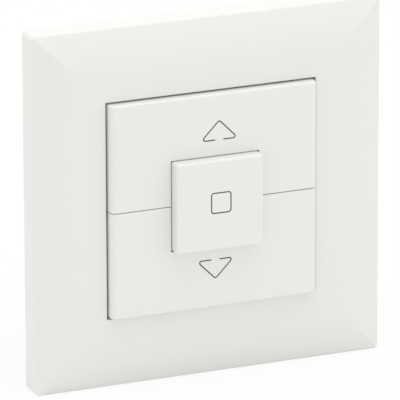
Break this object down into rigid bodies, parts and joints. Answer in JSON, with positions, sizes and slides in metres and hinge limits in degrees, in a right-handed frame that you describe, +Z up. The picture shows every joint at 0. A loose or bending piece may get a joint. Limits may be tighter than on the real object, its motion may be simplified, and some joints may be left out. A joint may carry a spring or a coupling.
{
  "type": "roller shutter switch",
  "caption": "Square flush wall switch for a roller shutter: half-plate rocker keys for up and down, a raised stop button between them, a crowned frame and a screw-terminal housing behind.",
  "frame": {"origin": "centre of the switch on the plane of the wall, midway between the two box screws", "axes": "+Z up, +Y into the wall box, -Y towards the user, +X to the user's right"},
  "size_m": [0.084, 0.037, 0.084],
  "materials": {
    "plate_plastic": "satin pure white moulded plastic",
    "key_plastic": "satin white moulded plastic",
    "button_plastic": "satin white moulded plastic",
    "frame_steel": "zinc plated sheet steel",
    "chassis_plastic": "light grey moulded plastic",
    "housing_plastic": "dark grey moulded plastic",
    "mechanism_plastic": "natural low friction plastic",
    "spring_steel": "spring steel wire",
    "contact_brass": "bare stamped brass",
    "contact_silver": "silver alloy contact rivet",
    "screw_steel": "bright plated steel"
  },
  "bodies": {
    "base": {"cover_plate": "plate_plastic", "support_frame": "frame_steel", "key_chassis": "chassis_plastic", "rear_housing": "housing_plastic", "common_busbar": "contact_brass", "up_contact_strip": "contact_brass", "down_contact_strip": "contact_brass", "fixed_contact_tips": "contact_silver", "common_terminal": "contact_brass", "up_terminal": "contact_brass", "down_terminal": "contact_brass", "terminal_screws": "screw_steel", "up_spring": "spring_steel", "down_spring": "spring_steel", "stop_spring": "spring_steel", "latch_spring": "spring_steel"},
    "up_rocker": {"up_key": "key_plastic"},
    "down_rocker": {"down_key": "key_plastic"},
    "stop": {"stop_button": "button_plastic"},
    "up_pin": {"up_plunger": "mechanism_plastic"},
    "down_pin": {"down_plunger": "mechanism_plastic"},
    "latch": {"latch_slider": "mechanism_plastic"},
    "up_blade": {"up_contact_blade": "contact_brass", "up_moving_tip": "contact_silver"},
    "down_blade": {"down_contact_blade": "contact_brass", "down_moving_tip": "contact_silver"}
  },
  "joints": [
    {"name": "up_key_hinge", "type": "hinge", "parent": "base", "child": "up_rocker", "pos_m": [0, -0.0062, 0.0028], "axis": [-1, 0, 0], "range_deg": [0, 5], "stiffness_Nm_per_rad": 0.3, "springref_deg": -5.73},
    {"name": "down_key_hinge", "type": "hinge", "parent": "base", "child": "down_rocker", "pos_m": [0, -0.0062, -0.0028], "axis": [1, 0, 0], "range_deg": [0, 5], "stiffness_Nm_per_rad": 0.3, "springref_deg": -5.73},
    {"name": "stop_button_slide", "type": "slide", "parent": "base", "child": "stop", "axis": [0, 1, 0], "range_m": [0, 0.0016], "stiffness_N_per_m": 400, "springref_m": -0.002, "deforming": ["stop_spring"]},
    {"name": "up_plunger_slide", "type": "slide", "parent": "base", "child": "up_pin", "axis": [0, 1, 0], "range_m": [0, 0.00107], "deforming": ["up_spring"]},
    {"name": "down_plunger_slide", "type": "slide", "parent": "base", "child": "down_pin", "axis": [0, 1, 0], "range_m": [0, 0.00107], "deforming": ["down_spring"]},
    {"name": "latch_slide", "type": "slide", "parent": "base", "child": "latch", "axis": [-1, 0, 0], "range_m": [0, 0.0012], "deforming": ["latch_spring"]},
    {"name": "up_blade_hinge", "type": "hinge", "parent": "base", "child": "up_blade", "pos_m": [-0.0145, 0.01135, 0.015], "axis": [0, 0, 1], "range_deg": [0, 4.25]},
    {"name": "down_blade_hinge", "type": "hinge", "parent": "base", "child": "down_blade", "pos_m": [-0.0145, 0.01135, -0.015], "axis": [0, 0, 1], "range_deg": [0, 4.25]}
  ],
  "couplings": [
    {"joint": "up_plunger_slide", "follows": "up_key_hinge", "m_per_rad": 0.0122},
    {"joint": "down_plunger_slide", "follows": "down_key_hinge", "m_per_rad": 0.0122},
    {"joint": "up_blade_hinge", "follows": "up_key_hinge", "ratio": 0.8414},
    {"joint": "down_blade_hinge", "follows": "down_key_hinge", "ratio": 0.8414},
    {"joint": "latch_slide", "follows": "stop_button_slide", "ratio": 0.75}
  ]
}
